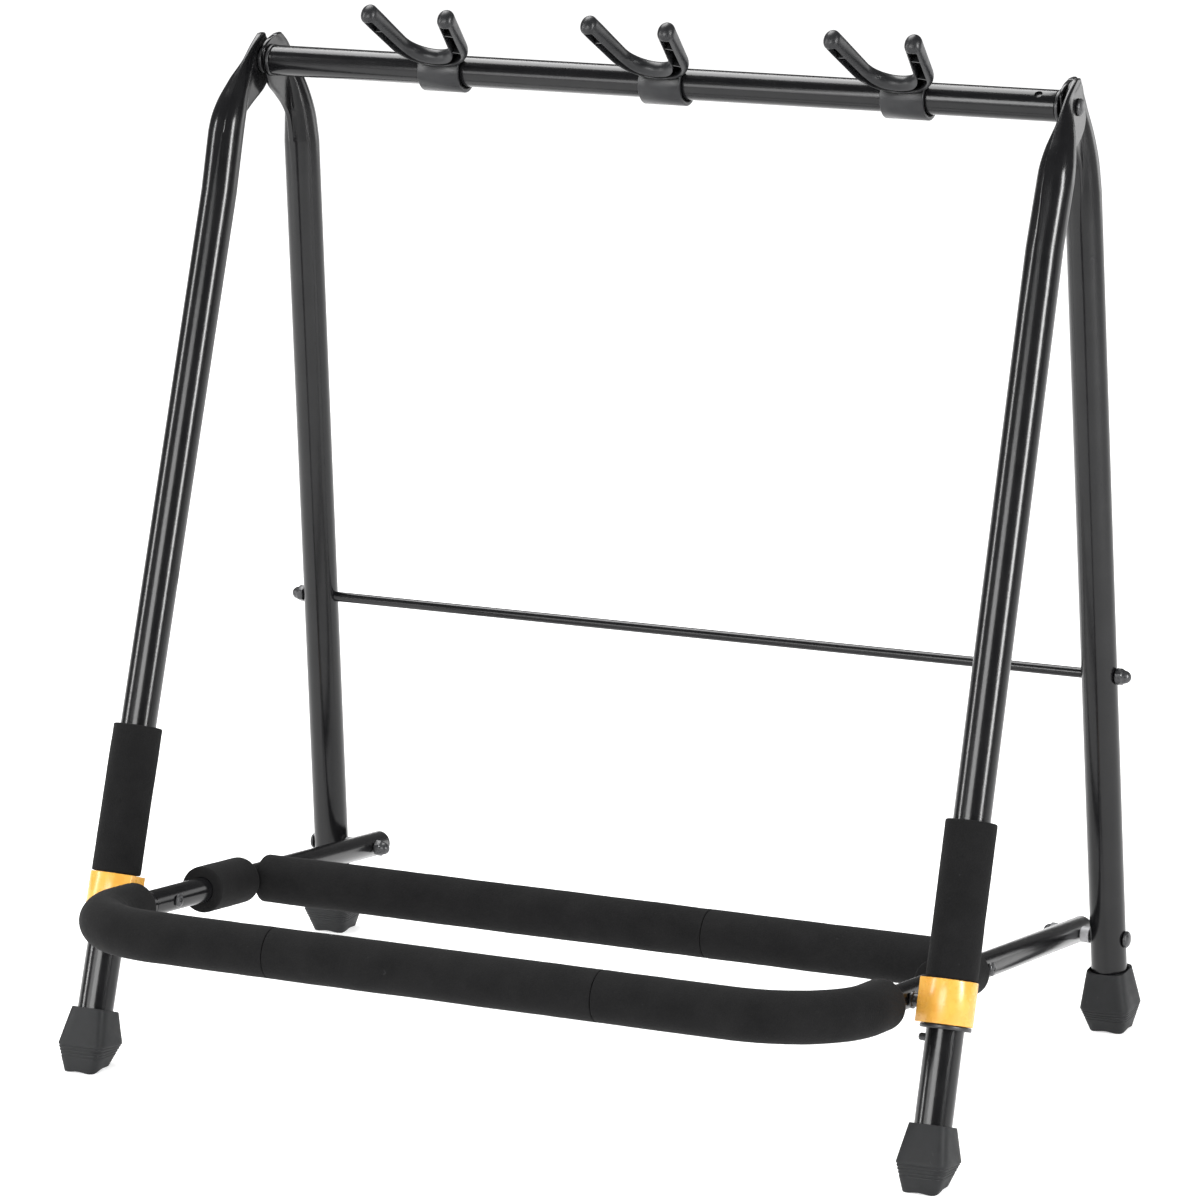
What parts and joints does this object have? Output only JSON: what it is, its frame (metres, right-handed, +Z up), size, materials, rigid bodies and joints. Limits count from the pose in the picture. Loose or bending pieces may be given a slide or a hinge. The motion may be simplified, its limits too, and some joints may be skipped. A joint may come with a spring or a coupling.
{
  "type": "guitar rack",
  "caption": "Folding floor rack for guitars: hinged tube legs, a top bar with sliding neck yokes, and a foam-padded body cradle held by sliding lock collars.",
  "frame": {"origin": "on the floor, at the centre of the rack's bounding box seen from above", "axes": "+Z up, -Y the front where the instruments are put in, +X along the top bar to the right as seen from the front"},
  "size_m": [0.5878, 0.4136, 0.6325],
  "materials": {
    "black_steel": "satin black powder coat",
    "black_zinc": "black zinc plated",
    "black_foam": "matte foam rubber",
    "yellow_plastic": "smooth moulded",
    "grey_plastic": "fine satin",
    "black_plastic": "satin",
    "black_rubber": "moulded rubber"
  },
  "bodies": {
    "frame": {"top_bar": "black_steel", "brace_rod": "black_steel", "rear_leg_left": "black_steel", "rear_leg_right": "black_steel", "bar_plug_left": "black_plastic", "bar_plug_right": "black_plastic", "hinge_bolt_left": "black_zinc", "hinge_bolt_right": "black_zinc", "hinge_washer_left": "black_plastic", "hinge_washer_right": "black_plastic", "brace_nut_left": "black_zinc", "brace_nut_right": "black_zinc", "foot_rear_left": "black_rubber", "foot_rear_right": "black_rubber", "cradle_bolt_left": "black_zinc", "cradle_bolt_right": "black_zinc", "cradle_nut_left": "black_zinc", "cradle_nut_right": "black_zinc", "hinge_spacer_left": "grey_plastic", "hinge_spacer_right": "grey_plastic"},
    "left_front_leg": {"front_leg_left": "black_steel", "foot_front_left": "black_rubber", "stop_pin_left": "black_zinc"},
    "right_front_leg": {"front_leg_right": "black_steel", "foot_front_right": "black_rubber", "stop_pin_right": "black_zinc"},
    "left_lock": {"lock_collar_left": "yellow_plastic", "lock_sleeve_left": "black_plastic", "leg_grip_left": "black_foam"},
    "right_lock": {"lock_collar_right": "yellow_plastic", "lock_sleeve_right": "black_plastic", "leg_grip_right": "black_foam"},
    "cradle": {"cradle_front_tube": "black_steel", "cross_tube": "black_steel", "front_foam": "black_foam", "rear_foam_left": "black_foam", "rear_foam_right": "black_foam", "cradle_rail_left": "black_steel", "cradle_rail_right": "black_steel", "cross_insert_left": "grey_plastic", "cross_insert_right": "grey_plastic", "cross_screw_left": "black_zinc", "cross_screw_right": "black_zinc", "join_screw_left": "black_zinc", "join_screw_right": "black_zinc", "latch_stud_left": "black_zinc", "latch_stud_right": "black_zinc", "rail_plug_left": "grey_plastic", "rail_plug_right": "grey_plastic", "corner_foam_left": "black_foam", "corner_foam_right": "black_foam", "rail_foam_left": "black_foam", "rail_foam_right": "black_foam"},
    "left_yoke": {"yoke_left": "grey_plastic"},
    "middle_yoke": {"yoke_middle": "grey_plastic"},
    "right_yoke": {"yoke_right": "grey_plastic"}
  },
  "joints": [
    {"name": "left_front_leg_fold", "type": "hinge", "parent": "frame", "child": "left_front_leg", "pos_m": [0, 0.1266, 0.586], "axis": [1, 0, 0], "range_deg": [0, 24]},
    {"name": "right_front_leg_fold", "type": "hinge", "parent": "frame", "child": "right_front_leg", "pos_m": [0, 0.1266, 0.586], "axis": [1, 0, 0], "range_deg": [0, 24]},
    {"name": "cradle_fold", "type": "hinge", "parent": "frame", "child": "cradle", "pos_m": [0, 0.1851, 0.0594], "axis": [-1, 0, 0], "range_deg": [0, 72]},
    {"name": "left_lock_slide", "type": "slide", "parent": "left_front_leg", "child": "left_lock", "axis": [0.0067, 0.3565, 0.9343], "range_m": [0, 0.025]},
    {"name": "right_lock_slide", "type": "slide", "parent": "right_front_leg", "child": "right_lock", "axis": [-0.0067, 0.3565, 0.9343], "range_m": [0, 0.025]},
    {"name": "left_yoke_slide", "type": "slide", "parent": "frame", "child": "left_yoke", "axis": [1, 0, 0], "range_m": [-0.08, 0.042]},
    {"name": "middle_yoke_slide", "type": "slide", "parent": "frame", "child": "middle_yoke", "axis": [1, 0, 0], "range_m": [-0.042, 0.046]},
    {"name": "right_yoke_slide", "type": "slide", "parent": "frame", "child": "right_yoke", "axis": [1, 0, 0], "range_m": [-0.046, 0.06]}
  ]
}
